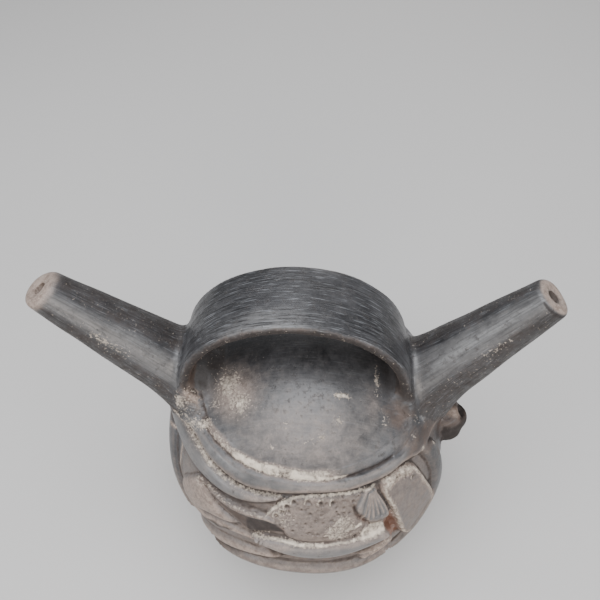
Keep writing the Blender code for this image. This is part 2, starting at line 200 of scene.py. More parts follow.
def drawn(points, margin=4.0):
    """A drawn line on the sheet, 1 on it and fading over its half width, the third number."""
    path = curve(points)
    part = window(path, margin)
    distance, _, row = distance_to(path, part)
    return part, np.exp(-(distance / np.maximum(row[..., 2], 0.05)) ** 2)


def cut_line(sheet, points, depth):
    part, share = drawn(points)
    sheet[part] -= depth * share


def cut_pit(sheet, azimuth, latitude, radius, depth, ring=0.0):
    """A punched pit, with a slight raised ring where the clay was pushed up."""
    path = np.array([[azimuth - 0.01, latitude], [azimuth + 0.01, latitude]])
    part = window(path, radius * 3.0)
    distance, _, _ = distance_to(path, part)
    sheet[part] += ring * np.exp(-((distance - radius * 1.35) / (radius * 0.35)) ** 2)
    sheet[part] -= depth * ease((radius * 1.15 - distance) / (radius * 0.8))


def soften(sheet, reach):
    """A sheet worn smooth over a reach in degrees."""
    half = max(round(reach / STEP), 1)
    for axis in (0, 1, 0, 1):
        margins = [(half, half) if line == axis else (0, 0) for line in (0, 1)]
        wide = np.pad(sheet, margins, mode="edge")
        wide = sum(np.roll(wide, shift, axis) for shift in range(-half, half + 1)) / (2 * half + 1)
        sheet = wide[half:-half] if axis == 0 else wide[:, half:-half]
    return sheet


# The neck steps out over NECK_STEP degrees, a round band lies on it, and a groove parts the
# band from the cap. The groove is shallower to the right of GROOVE_FADES.
NECK_STEP = 1.4
BAND_RISE = 1.1
GROOVE_DEPTH = 0.8
GROOVE_HALF_WIDTH = 0.75
GROOVE_FADES = 16.0
NECK_LINE = curve((
    (-180, 37.5), (-90, 37.5), (-66, 35.8), (-56, 36.8), (-48, 36), (-40, 35.8), (-31, 35.4),
    (-23, 35.5), (-15, 36.5), (-8, 37.1), (2, 37.9), (10, 37.6), (17, 36.9), (27, 36.4), (38, 35.5),
    (45, 35.4), (51, 34), (57, 31.8), (70, 32), (110, 37.5), (180, 37.5),
))
CAP_LINE = curve((
    (-180, 45), (-75, 44), (-54, 42.4), (-40, 42.3), (-28, 42.2), (-19, 42.5), (-9, 42.8), (2, 42.4),
    (13, 42.1), (20, 41.6), (29, 41.3), (36, 40.6), (42, 40.2), (47, 39.8), (56, 40), (75, 42),
    (110, 45), (180, 45),
))
neck = np.interp(AZ, NECK_LINE[:, 0], NECK_LINE[:, 1])
cap = np.interp(AZ, CAP_LINE[:, 0], CAP_LINE[:, 1])
middle, half = 0.5 * (neck + cap), 0.5 * (cap - neck)
carving = RELIEF * ease((LAT - neck) / NECK_STEP + 0.5)
carving += BAND_RISE * np.sqrt(np.clip(1.0 - ((LAT - middle) / half) ** 2, 0.0, 1.0))
groove_depth = GROOVE_DEPTH * (1.0 - 0.6 * ease((AZ - GROOVE_FADES) / 6.0))
carving -= groove_depth * np.exp(-((LAT - cap) / GROOVE_HALF_WIDTH) ** 2)

# Rolls are azimuth, latitude and half width in degrees. Forms are outlines.
HORN = (
    (-88, 24, 2.5), (-80, 26.5, 3.4), (-70, 29.4, 4.4), (-62, 30.4, 4.9), (-53, 30.9, 4.7),
    (-44, 31.2, 4.3), (-36, 31.2, 3.8), (-28, 31.5, 3.2), (-21, 32.4, 2.4), (-15, 33.7, 1.6),
    (-9, 35.2, 0.5),
)
LEFT_FOLD = (
    (-100, 22, 3), (-88, 22, 5), (-79, 19, 5.5), (-73, 12, 4.8), (-68, 4, 4), (-62, -4, 2.6),
    (-55, -11, 0.6),
)
RIGHT_FOLD = (
    (60, 32, 2.4), (64, 25, 4), (65, 15, 4.5), (63, 5, 4.5), (58, -5, 4.3), (50, -10, 3.6),
    (42, -12, 2.4), (35, -11, 0.6),
)
LONG_LEAF = (
    (-45, 26.3, 0.3), (-41.9, 25.6, 0.8), (-36.1, 24.9, 1.2), (-31.1, 24.4, 1.3), (-25.7, 24.5, 1.4),
    (-20, 25.1, 1.5), (-14.6, 25.7, 1.2), (-10.5, 24.6, 0.4),
)
LEAF_BED = (
    (-43, 25.6), (-36, 24.8), (-26, 24.4), (-18, 25.2), (-13, 25.6), (-10.5, 24.5), (-6.6, 20.9),
    (-12.7, 19.3), (-18.7, 16.7), (-21.8, 16.2), (-26.9, 17.6), (-32.5, 19.8), (-38.4, 22.1),
)
BROAD_LEAF = (
    (-48.5, 24.4), (-46, 26.2), (-43, 24.8), (-38.5, 21), (-33.5, 18.4), (-29, 17.6), (-25.6, 16.6),
    (-29, 14.6), (-34, 12.8), (-39, 10.6), (-44, 7), (-50, 3.5), (-56, 4), (-58, 11), (-53, 18.6),
)
LOW_LEAVES = (
    ((-58, -3, 0.3), (-50, 1.5, 1.8), (-42, 5, 2.6), (-35, 8.6, 2.6), (-28, 11.4, 2), (-21, 12.4, 1.2),
     (-15, 11.6, 0.3)),
    ((-60, -22, 0.3), (-50, -15, 2.6), (-40, -8, 4), (-30, -1.4, 3.8), (-20, 3.4, 2.6), (-11, 5.4, 1.4),
     (-4, 5.2, 0.3)),
)
PANEL = (
    (-14.5, 27.5), (-10.6, 31.6), (-4.5, 35), (1.9, 36.2), (9.9, 36), (16.3, 35.2), (21.3, 34.9),
    (26.5, 34.4), (31.5, 33.8), (33.4, 30.1), (35.2, 22.5), (34.2, 14.8), (31, 11.8), (26.5, 12.4),
    (21.8, 12.8), (15.8, 13.2), (8.7, 14.4), (1.7, 16), (-5.4, 18), (-7.5, 20.6), (-10.8, 24.3),
)
FAN = (
    (26, 34.8), (29.5, 34.4), (32.3, 31), (34.2, 25), (34.4, 19.6), (30.6, 18.9), (25.5, 20.6),
    (22.9, 24.6), (20.4, 27.6), (21.8, 31),
)
SHIELD = (
    (40, 35.2), (45.6, 34.8), (50.5, 32), (52.6, 27), (54.6, 19.5), (58, 8), (59.5, -2), (54, -6.4),
    (46, -8.5), (40.5, -1), (38.2, 6), (36.8, 14), (35.4, 22), (33.4, 31), (35, 34.4),
)
LIP = (
    (-19, 14.4, 0.7), (-13, 14.6, 1.9), (-7.2, 13.8, 3.1), (-1.4, 13.2, 3.9), (5.7, 12.3, 4.2),
    (11.3, 11.8, 4.2), (18.4, 11.8, 4), (24.8, 12, 3.7), (30, 11.6, 2.9), (34, 10.4, 0.9),
)
JAW = (
    (-46, -16, 0.3), (-34, -10.5, 1.6), (-23, -5.5, 2.4), (-12, -2.8, 2.8), (-2, -3, 3.1),
    (8, -4.2, 3.2), (18, -6, 3.1), (27, -6.5, 2.4), (36, -4.5, 0.3),
)
CHIN_LEAVES = (
    ((17, 4.6, 0.5), (22, 3.2, 1.9), (28, 3.4, 2.1), (33, 5.8, 0.4)),
    ((22, -2.5, 0.6), (27, -1.4, 1.8), (32, 1, 1.8), (37, 5, 0.4)),
)
RECESS = (
    (31.4, 14.6), (32.8, 18.8), (35.6, 18.6), (37.6, 12.5), (39, 5), (39.6, -1.5), (36.6, 0),
    (33.4, 7),
)
BACK_LEAF = ((-13, 20), (-6, 31), (0, 33), (6, 31), (13, 20), (8, 6), (0, -3), (-8, 6))
BIG_PITS = (
    (-3.7, 33.8), (2, 34.3), (7.4, 33.5), (12.2, 33), (-6.6, 31.9), (-8.2, 29.4), (-10.4, 27.6),
    (37.6, 32.8), (41.4, 32.3), (45.6, 29.8), (48.8, 26.6),
)

# Each roll with its height, then each form with its height, the width of its rounded
# shoulder in degrees and its crown.
for roll, rise in ((LEFT_FOLD, 3.2), (RIGHT_FOLD, 3.2), (LOW_LEAVES[0], 1.6), (LOW_LEAVES[1], 2.4),
                   (CHIN_LEAVES[0], 2.6), (CHIN_LEAVES[1], 2.6), (JAW, 3.8), (LONG_LEAF, 2.9),
                   (HORN, 3.3), (edge_of(SHIELD, 1.5, 0.12), 3.0), (LIP, 4.4)):
    raise_roll(carving, roll, rise)
for form, rise, edge, crown in ((PANEL, 1.4, 1.2, 0.0), (LEAF_BED, 1.5, 0.9, 0.0),
                                (BROAD_LEAF, 2.1, 2.4, 0.5), (SHIELD, 2.4, 1.8, -0.5),
                                (FAN, 2.6, 1.6, 0.4)):
    raise_form(carving, form, rise, edge, crown)

# Five plain leaves go round the back. The one at 180 lies across the sheet's two ends.
for centre in (112, 146, 180, -180, -146, -112):
    raise_form(carving, [(centre + a, b) for a, b in BACK_LEAF], 1.8, 3.0)
carving = soften(carving, 0.3)

# Lines and pits cut last stay crisp.
CREVICE = ((20, 41.9, 0.3), (25, 41.5, 0.4), (31, 41.1, 0.45), (37, 40.7, 0.4), (43, 40.3, 0.3))
HOOK = ((20.4, 29.5, 0.5), (21.4, 25, 0.6), (23.6, 21.4, 0.7), (26.4, 18.6, 0.6), (30, 17.2, 0.5))
FAN_GROOVE = ((31.8, 31.4, 0.5), (33.6, 26.6, 0.7), (35, 20.6, 0.8), (36.4, 14, 0.8))
GAP_UNDER_LIP = ((-15, 8.6, 0.8), (-4, 4.6, 1.1), (9, 3, 1.2), (20, 3.6, 1), (30, 5, 0.7))
LEAF_GROOVE = (
    (-46, 23.6, 0.4), (-41, 22.6, 0.7), (-36, 20.2, 0.8), (-30, 18.9, 0.8), (-25, 17.8, 0.6),
)
for line, depth in ((CREVICE, 0.8), (HOOK, 1.1), (FAN_GROOVE, 1.3), (GAP_UNDER_LIP, 1.6),
                    (LEAF_GROOVE, 1.0)):
    cut_line(carving, line, depth)

# The fan's flutes spread from its top: azimuth there, azimuth and latitude at the foot.
FLUTES = [(27.2 + 0.6 * n, 21.6 + 2.2 * n, 22.6 - 0.5 * abs(n - 3)) for n in range(6)]
for top, foot, low in FLUTES:
    cut_line(carving, ((top, 33.2, 0.3), (0.5 * (top + foot), 28.2, 0.55), (foot, low, 0.5)), 0.65)
part, depth = depth_in(RECESS, 1.5)
carving[part] -= 1.7 * ease(0.5 + depth / 1.4)
for azimuth, latitude in BIG_PITS:
    cut_pit(carving, azimuth, latitude, 0.95, 0.8, 0.25)

# Small pits lie where chance puts them on the panel, but not on the fan or under the panel.
SMALL_PIT_TRIES = 170
luck = np.random.default_rng(7)
fan_line = curve(FAN, closed=True)
small_pits = []
for _ in range(SMALL_PIT_TRIES):
    azimuth, latitude = luck.uniform(-12, 34), luck.uniform(15, 35)
    if latitude < 19.5 - 0.35 * azimuth or inside(fan_line, azimuth, latitude):
        continue
    small_pits.append((azimuth, latitude, luck.uniform(0.35, 0.8)))
    cut_pit(carving, *small_pits[-1], luck.uniform(0.3, 0.7), 0.12)


def on_sheet(sheet, azimuth, latitude):
    """A sheet read at places on the body."""
    column = np.clip((azimuth - AZIMUTHS[0]) / STEP, 0, len(AZIMUTHS) - 1.001)
    line = np.clip((latitude - LATITUDES[0]) / STEP, 0, len(LATITUDES) - 1.001)
    i, j = column.astype(int), line.astype(int)
    u, v = column - i, line - j
    return ((sheet[i, j] * (1 - u) + sheet[i + 1, j] * u) * (1 - v)
            + (sheet[i, j + 1] * (1 - u) + sheet[i + 1, j + 1] * u) * v)


# ----------------------------------------
# The spouts: two slanted tubes rolled from a sheet of clay and luted to the shoulder, with a
# smear of clay smoothed round each root. Each tapers to a small worn mouth. A row gives its
# name, side, tilt from upright, length and the slant of its mouth.
SPOUTS = (("left", -1, 42.6, 74, 14), ("right", 1, 36.1, 68, 0))
SPOUT_ROOT_RADIUS = 16.1
SPOUT_TIP_RADIUS = 7.7
SPOUT_FLARE = 2.2
SPOUT_FLARE_LENGTH = 20.0
SPOUT_SUNK = 12.0  # the spout runs on into the shoulder this far
SPOUT_ROOT = math.radians(41.0)
BORE_RADIUS = 2.1
MOUTH_RADIUS = 3.9
MOUTH_DEPTH = 0.9
TIP_ROUND = 2.6  # how far the rim of the tip is worn round
DISH_ROUND = 0.6
LIP_WEAR = 0.2


def soft_min(a, b, round_by):
    share = np.clip(0.5 + 0.5 * (b - a) / round_by, 0.0, 1.0)
    return b * (1 - share) + a * share - round_by * share * (1 - share)


def spout_axis(side, tilt):
    root = np.array([side * BELLY_RADIUS * math.cos(SPOUT_ROOT), 0.0,
                     BELLY_HEIGHT + BELLY_RISE * math.sin(SPOUT_ROOT)])
    lean = math.radians(tilt)
    return root, np.array([side * math.sin(lean), 0.0, math.cos(lean)])


def spout_gap(points, side, tilt, length, slant):
    """Distance from one spout, its mouth dished."""
    root, ahead = spout_axis(side, tilt)
    from_root = points - root
    along = from_root @ ahead
    away = np.linalg.norm(from_root - along[:, None] * ahead, axis=1)
    radius = SPOUT_ROOT_RADIUS + (SPOUT_TIP_RADIUS - SPOUT_ROOT_RADIUS) * along / length
    radius = radius + SPOUT_FLARE * np.clip(1.0 - along / SPOUT_FLARE_LENGTH, 0.0, 1.0) ** 2
    gap = away - radius
    slope = math.radians(tilt - slant)
    face_way = np.array([side * math.sin(slope), 0.0, math.cos(slope)])
    from_mouth = from_root - ahead * length
    past_face = from_mouth @ face_way
    turn = np.arctan2(points[:, 1], from_root @ np.array([ahead[2], 0.0, -ahead[0]]))
    wear = np.sin(2.0 * turn + 0.8 * side) + 0.3 * np.sin(3.0 * turn + side)
    past_face = past_face + LIP_WEAR * wear * (away > 3.5)
    gap = -soft_min(-gap, -past_face, TIP_ROUND)
    gap = np.maximum(gap, -along - SPOUT_SUNK)
    round_hole = np.linalg.norm(from_mouth - past_face[:, None] * face_way, axis=1)
    widening = (MOUTH_RADIUS - BORE_RADIUS) / MOUTH_DEPTH
    dish = round_hole - BORE_RADIUS - (past_face + MOUTH_DEPTH) * widening
    dish = np.maximum(dish, -(past_face + MOUTH_DEPTH))
    return -soft_min(-gap, dish, DISH_ROUND)


# ----------------------------------------
# The strap: a flat band of clay bent over the cap from one spout root to the other, pressed
# on at both feet and burnished lengthwise with a pebble.
STRAP_SPAN = 92.0
STRAP_RISE = 43.4
STRAP_WIDTH = 30.0
STRAP_THICKNESS = 5.0
STRAP_CORNER = 1.5
STRAP_SHIFT = -4.5  # to the left of the body's middle
STRAP_FORWARD = 1.0
STRAP_TOP = 160.35
STRAP_LEG = 20.0
strap_turns = np.radians(np.linspace(-90.0, 90.0, 121))
strap_half = STRAP_SPAN / 2 - STRAP_THICKNESS / 2
strap_spring = STRAP_TOP - STRAP_RISE + STRAP_THICKNESS / 2
strap_rise = STRAP_TOP - strap_spring
strap_line = np.stack([STRAP_SHIFT + strap_half * np.sin(strap_turns),
                       strap_spring + strap_rise * np.cos(strap_turns)], axis=1)
legs = np.arange(STRAP_LEG, 0.0, -1.0)
left_leg, right_leg = (np.stack([np.full(len(legs), x), strap_spring - legs], axis=1)
                       for x in strap_line[[0, -1], 0])
strap_line = np.vstack([left_leg, strap_line, right_leg[::-1]])
strap_ways = np.gradient(strap_line, axis=0)
strap_ways /= np.linalg.norm(strap_ways, axis=1)[:, None]
strap_out = np.stack([-strap_ways[:, 1], strap_ways[:, 0]], axis=1)


def strap_place(points):
    """Row of the strap's middle line nearest to each point, and the offset outwards from it."""
    flat = points[:, [0, 2]]
    distance = (flat[:, :1] - strap_line[:, 0]) ** 2 + (flat[:, 1:] - strap_line[:, 1]) ** 2
    row = np.argmin(distance, axis=1)
    offset = flat - strap_line[row]
    return row, np.sum(offset * strap_out[row], axis=1)


def strap_gap(points):
    """Distance from the strap, which thickens and spreads towards its feet."""
    row, through = strap_place(points)
    height = strap_line[row, 1]
    low = ease((strap_spring + 4.0 - height) / 16.0)
    low = low * ease((height - strap_spring + STRAP_LEG) / 12.0)
    half_thick = STRAP_THICKNESS / 2 * (1.0 + 0.5 * low)
    through = through * (1.0 - 0.45 * ease((strap_spring + 7.0 - height) / 14.0) * (through < 0))
    across = points[:, 1] + STRAP_FORWARD
    half_wide = STRAP_WIDTH / 2 * np.where(across < 0, 1.0 + 0.5 * low, 1.0 + 0.1 * low)
    half_thick = half_thick * (1.0 - 0.22 * np.clip(across / half_wide, -1.0, 1.0) ** 2)
    past = np.stack([np.abs(through) - half_thick, np.abs(across) - half_wide], axis=1) + STRAP_CORNER
    outside = np.linalg.norm(np.maximum(past, 0.0), axis=1)
    below = strap_line[0, 1] - points[:, 2]
    return np.maximum(outside + np.minimum(past.max(axis=1), 0.0) - STRAP_CORNER, below)


# ----------------------------------------
# The lug: a small ear pinched out of the wall under the right spout, its rim curled up round
# a shallow hollow. Its fold and hollows are a middle and half sizes: out, sideways, up.
LUG_AZIMUTH = 86.0
LUG_LATITUDE = 18.0
LUG_SIZE = (11.5, 8.5, 7.5)
LUG_FOLD = ((1.5, -4.5, -3.5), (7.5, 5.5, 4.5))
LUG_HOLLOWS = (((8.4, 1.5, 5.2), (1.8, 5.4, 3.6)), ((1.6, -3.4, 6.6), (2.0, 1.8, 2.0)))
lug_turn = math.radians(LUG_AZIMUTH)
lug_radius, lug_height, _ = (float(value) for value in profile(LUG_LATITUDE))
lug_out = np.array([math.sin(lug_turn), -math.cos(lug_turn), 0.0])
lug_side = np.array([math.cos(lug_turn), math.sin(lug_turn), 0.0])
lug_middle = lug_radius * lug_out + np.array([0.0, 0.0, lug_height])


def ball_gap(points, middle, size):
    """Distance from a ball stretched to half sizes."""
    return (np.linalg.norm((points - middle) / size, axis=1) - 1.0) * min(size)


def lug_gap(points):
    """Distance from the lug, its fold and hollows rounded into it."""
    offset = points - lug_middle
    local = np.stack([offset @ lug_out, offset @ lug_side, offset[:, 2]], axis=1)
    gap = soft_min(ball_gap(local, (0.0, 0.0, 0.0), LUG_SIZE), ball_gap(local, *LUG_FOLD), 1.2)
    for middle, size in LUG_HOLLOWS:
        gap = -soft_min(-gap, ball_gap(local, middle, size), 0.8)
    return gap


# ----------------------------------------
# The fired piece: body, carving, spouts, strap and lug worked into one skin, then hollowed
# by the cavity and the two bores, as the potter left it.
UNEVEN = 0.16  # hand-made unevenness of every wall
SMEAR = 5.0  # clay smoothed over the roots of spouts and strap
LUG_SMEAR = 1.6


def surface_gap(points):
    """Distance from the finished outer skin, below nought inside the clay."""
    azimuth, latitude, gap = body_place(points)
    lift = np.where(latitude > SHEET_TOP - 1.0, RELIEF, on_sheet(carving, azimuth, latitude))
    gap = gap - lift * ease((latitude - SHEET_FOOT) / 12.0)
    uneven = UNEVEN * (np.sin(points[:, 0] / 6.1 + 1.7 * np.sin(points[:, 1] / 8.3))
                       * np.sin(points[:, 2] / 7.2 + 1.3 * np.sin(points[:, 0] / 9.7)))
    gap = gap - uneven * ease(points[:, 2] / 10.0)
    gap = np.maximum(gap, -points[:, 2])
    high = points[:, 2] > 60.0
    for name, side, tilt, length, slant in SPOUTS:
        near = high & (points[:, 0] * side > 5.0)
        tube = spout_gap(points[near], side, tilt, length, slant) - uneven[near]
        gap[near] = soft_min(gap[near], tube, SMEAR)
    near = points[:, 2] > 95.0
    gap[near] = soft_min(gap[near], strap_gap(points[near]) - uneven[near], SMEAR)
    near = high & (points[:, 0] > 45.0) & (points[:, 2] < 110.0)
    gap[near] = soft_min(gap[near], lug_gap(points[near]), LUG_SMEAR)
    return gap


def settle(skin, rounds, reach):
    """Move the points of a shape onto the finished skin, at most a reach in each round."""
    small = 0.04
    points = np.array([vert.co[:] for vert in skin.verts])
    for _ in range(rounds):
        gap = surface_gap(points)
        ways = [surface_gap(points + small * axis) - gap for axis in np.eye(3)]
        ways = np.stack(ways, axis=1) / small
        size = np.maximum(np.sum(ways ** 2, axis=1), 0.25)
        move = -(gap / size)[:, None] * ways
        length = np.linalg.norm(move, axis=1)
        move *= np.minimum(1.0, reach / np.maximum(length, 1e-9))[:, None]
        points = points + move
    for vert, place in zip(skin.verts, points):
        vert.co = place
    return points


def halve(skin, chosen):
    """Divide the edges between chosen points."""
    skin.verts.ensure_lookup_table()
    edges = [e for e in skin.edges if chosen[e.verts[0].index] and chosen[e.verts[1].index]]
    bmesh.ops.subdivide_edges(skin, edges=edges, cuts=1, use_grid_fill=True)
    skin.verts.index_update()


def within(place, west, east, low, high):
    """Which points near the body lie in a range of azimuth and latitude."""
    azimuth, latitude, gap = place
    return (azimuth > west) & (azimuth < east) & (latitude > low) & (latitude < high) & (gap < 6.0)


def spout_cone(shape, side, tilt, length, sunk, past, sides, root_radius, tip_radius):
    """A cone along a spout, from a depth below its root to a distance past its mouth."""
    root, ahead = spout_axis(side, tilt)
    cone = bmesh.ops.create_cone(shape, cap_ends=True, segments=sides, depth=length + sunk + past,
                                 radius1=root_radius, radius2=tip_radius)["verts"]
    turn = Vector((0, 0, 1)).rotation_difference(Vector(ahead)).to_matrix().to_4x4()
    centre = Vector(root + ahead * (length - sunk + past) / 2)
    bmesh.ops.transform(shape, matrix=Matrix.Translation(centre) @ turn, verts=cone)


def finished(name, shape):
    """An object from a shape in millimetres."""
    bmesh.ops.scale(shape, vec=(0.001, 0.001, 0.001), verts=shape.verts)
    thing = bpy.data.objects.new(name, bpy.data.meshes.new(name))
    shape.to_mesh(thing.data)
    shape.free()
    bpy.context.scene.collection.objects.link(thing)
    return thing


def mesh_of(thing):
    """The mesh of an object with its modifiers applied."""
    return bpy.data.meshes.new_from_object(thing.evaluated_get(bpy.context.evaluated_depsgraph_get()))


# Plain lumps are laid together, a little larger than the body, and made into one skin.
OVERSIZE = 1.5
TUBE_SUNK = 10.0
rough = bmesh.new()
for vert in bmesh.ops.create_uvsphere(rough, u_segments=128, v_segments=96, radius=1.0)["verts"]:
    latitude = math.degrees(math.asin(max(-1.0, min(1.0, vert.co.z))))
    radius, height, slope = (float(v) for v in profile(latitude))
    ring = vert.co.xy.normalized() * (radius + OVERSIZE * math.cos(slope))
    vert.co = (ring.x, ring.y, max(height + OVERSIZE * math.sin(slope), 0.0))
for name, side, tilt, length, slant in SPOUTS:
    taper = (SPOUT_ROOT_RADIUS - SPOUT_TIP_RADIUS) / length
    spout_cone(rough, side, tilt, length, TUBE_SUNK, 0.0, 48, SPOUT_ROOT_RADIUS + taper * TUBE_SUNK,
               SPOUT_TIP_RADIUS)
bar = bmesh.new()
bmesh.ops.create_cone(bar, cap_ends=True, segments=16, radius1=1.0, radius2=1.0, depth=2.0)
lengthwise = [e for e in bar.edges if abs(e.verts[0].co.z - e.verts[1].co.z) > 1.0]
bmesh.ops.subdivide_edges(bar, edges=lengthwise, cuts=99, use_grid_fill=True)
for vert in bar.verts:
    row = round((vert.co.z + 1.0) / 2.0 * (len(strap_line) - 1))
    middle_x, middle_z = strap_line[row]
    out_x, out_z = strap_out[row]
    square = max(abs(vert.co.x), abs(vert.co.y)) ** -0.7
    thick = STRAP_THICKNESS / 2 * vert.co.x * square
    wide = STRAP_WIDTH / 2 * vert.co.y * square
    vert.co = (middle_x + out_x * thick, wide - STRAP_FORWARD, middle_z + out_z * thick)
bar_mesh = bpy.data.meshes.new("bar")
bar.to_mesh(bar_mesh)
bar.free()
rough.from_mesh(bar_mesh)
bpy.data.meshes.remove(bar_mesh)
ear = bmesh.ops.create_uvsphere(rough, u_segments=24, v_segments=16, radius=1.0)["verts"]
bmesh.ops.scale(rough, vec=LUG_SIZE, verts=ear)
bmesh.ops.rotate(rough, verts=ear, matrix=Matrix.Rotation(lug_turn - math.pi / 2, 3, "Z"))
bmesh.ops.translate(rough, verts=ear, vec=lug_middle)
bmesh.ops.recalc_face_normals(rough, faces=rough.faces)

rough_clay = finished("rough_clay", rough)
remesh = rough_clay.modifiers.new("one_skin", "REMESH")
remesh.mode = "VOXEL"
remesh.voxel_size = 0.00146
skin = bmesh.new()
skin.from_mesh(mesh_of(rough_clay))
bpy.data.objects.remove(rough_clay)
bmesh.ops.scale(skin, vec=(1000.0, 1000.0, 1000.0), verts=skin.verts)
points = settle(skin, 6, 2.0)

# The carved front, the mouths and the lug take finer faces than the plain parts, and the
# pitted panel and the crevice under the cap take the finest.
place = body_place(points)
fine = within(place, -86, 72, -14, 46)
for name, side, tilt, length, slant in SPOUTS:
    root, ahead = spout_axis(side, tilt)
    fine |= (points - root) @ ahead > length - 5.0
fine |= (points[:, 0] > 58) & (points[:, 2] > 70) & (points[:, 2] < 104) & (place[2] > 2.0)
halve(skin, fine)
place = body_place(settle(skin, 4, 0.7))
halve(skin, within(place, -14, 40, 4, 37) | within(place, 12, 52, 36, 44))
settle(skin, 3, 0.4)
bmesh.ops.triangulate(skin, faces=skin.faces)
bmesh.ops.recalc_face_normals(skin, faces=skin.faces)
pottery = finished("fired_bottle", skin)

# The cavity and the two bores.
cutter = bmesh.new()
rows = [(0.0, WALL)]
for latitude in np.linspace(-64.0, 34.0, 15):
    radius, height, slope = (float(v) for v in profile(latitude))
    rows.append((radius - WALL * math.cos(slope), max(height - WALL * math.sin(slope), WALL)))
for latitude in np.linspace(CAP_EDGE, 90.0, 8):
    radius, height, slope = (float(v) for v in profile(latitude + 0.01))
    rows.append((max(radius - WALL * math.cos(slope), 0.0), height - WALL * math.sin(slope)))
rows[-1] = (0.0, rows[-1][1])
line = [cutter.verts.new((r, 0.0, h)) for r, h in rows]
edges = [cutter.edges.new(pair) for pair in zip(line[:-1], line[1:])]
bmesh.ops.spin(cutter, geom=line + edges, cent=(0, 0, 0), axis=(0, 0, 1), angle=math.tau, steps=64,
               use_merge=True)
bmesh.ops.remove_doubles(cutter, verts=cutter.verts, dist=0.01)
bmesh.ops.recalc_face_normals(cutter, faces=cutter.faces)
cutters = [cutter]
BORE_PAST = 4.0
for name, side, tilt, length, slant in SPOUTS:
    bore = bmesh.new()
    spout_cone(bore, side, tilt, length, SPOUT_SUNK + WALL, BORE_PAST, 32, SPOUT_ROOT_RADIUS - WALL,
               BORE_RADIUS)
    cutters.append(bore)
hollows = [finished(f"hollow_{number}", shape) for number, shape in enumerate(cutters)]
for tool in hollows:
    cut = pottery.modifiers.new(tool.name, "BOOLEAN")
    cut.operation = "DIFFERENCE"
    cut.solver = "MANIFOLD"
    cut.object = tool
hollowed = mesh_of(pottery)
pottery.modifiers.clear()
pottery.data = hollowed
for tool in hollows:
    bpy.data.objects.remove(tool)
hollowed.shade_smooth()
hollowed.set_sharp_from_angle(angle=math.radians(50.0))


# ----------------------------------------
# The surface: pale earth caught in the carving, brown rubbed clay on the edges and mouths, painted
# shade in the hollows, under the rolls and round the strap, a grey that is partly polished clay and
# partly painted sheen, and the direction in which each piece was rubbed with a pebble.
# Each is kept as an attribute of the skin, which the material reads.
def paint_line(sheet, points, amount):
    """A line laid on a sheet wherever it is stronger than what is there."""
    part, share = drawn(points)
    sheet[part] = np.maximum(sheet[part], amount * share)


def paint_form(sheet, points, amount, fade):
    """An outline filled on a sheet, with a soft edge."""
    part, depth = depth_in(points, fade + 1.0)
    sheet[part] = np.maximum(sheet[part], amount * ease(0.5 + depth / (2.0 * fade)))


def wipe_form(sheet, points, amount, margin):
    """An outline wiped off a sheet by a share."""
    part, depth = depth_in(points, margin)
    sheet[part] *= 1.0 - amount * ease(0.5 + depth)


def moved(line, wide, up=0.0):
    """A line with its width times a share, moved up the body by degrees."""
    return [(a, b + up, w * wide) for a, b, w in line]


def dot(azimuth, latitude, reach, size):
    """A line so short that it is a spot."""
    return ((azimuth - reach, latitude, size), (azimuth + reach, latitude, size))


crust, pale, polish_and_sheen, brown, shade_and_soot, rust = (np.zeros_like(carving) for _ in range(6))
CAP_DEPOSIT = (
    (-36, 42.9, 0.4), (-31, 42.9, 0.9), (-22, 43, 0.8), (-15, 43.3, 1.1), (-9, 43.4, 0.8),
    (-3, 43.1, 1.1), (3, 42.8, 0.9), (9, 42.6, 1.1), (14, 42.4, 0.7), (20, 42.2, 0.3),
)
THIN_DEPOSIT = ((-56, 43, 0.5), (-50, 43, 0.6), (-45, 43.1, 0.8), (-40, 43, 0.6), (-35, 42.9, 0.9))
HORN_DEPOSIT = (
    (-80, 30, 0.8), (-70, 33.4, 1.3), (-62, 34.6, 1.5), (-54, 34.9, 1.2), (-46, 34.6, 1.4),
    (-38, 34.2, 1.1), (-28, 34.2, 1), (-20, 34.6, 0.8), (-10, 35.6, 0.7),
)
PANEL_DEPOSIT = (
    (-14, 27.2, 0.7), (-11, 30.8, 0.9), (-5, 34.8, 0.9), (2, 36.2, 0.8), (10, 36, 0.8),
    (20, 35, 0.7), (31, 34, 0.7),
)
LIP_DEPOSIT = (
    (-19, 15.2, 0.4), (-12, 16.4, 0.4), (-6, 16.6, 0.6), (0, 16.3, 0.8), (6, 15.7, 0.7),
    (14, 15.2, 0.5), (22, 15, 0.8), (28, 14.6, 1.5), (31, 14.2, 1.2),
)
PLEAT_LINE = (
    (-78, 20, 0.8), (-72, 22.8, 1), (-66, 22.5, 1), (-64.5, 16, 1), (-64, 9, 0.9), (-60, 2, 0.8),
)
LEAF_FACE = ((-40, 24.2), (-34, 23.4), (-26, 22.9), (-18, 23.6), (-10.5, 23.8), *LEAF_BED[6:])
SHIELD_TOP = (
    (34.6, 34.4), (40, 35), (45.6, 34.6), (50.6, 31.4), (48, 28.4), (42, 30.6), (36, 29.6),
)
LEAF_TIP = (
    (-22, 22.8), (-16, 24.4), (-10.7, 24), (-6.7, 20.9), (-12.7, 19.2), (-18.7, 16.8), (-21.5, 17.2),
)
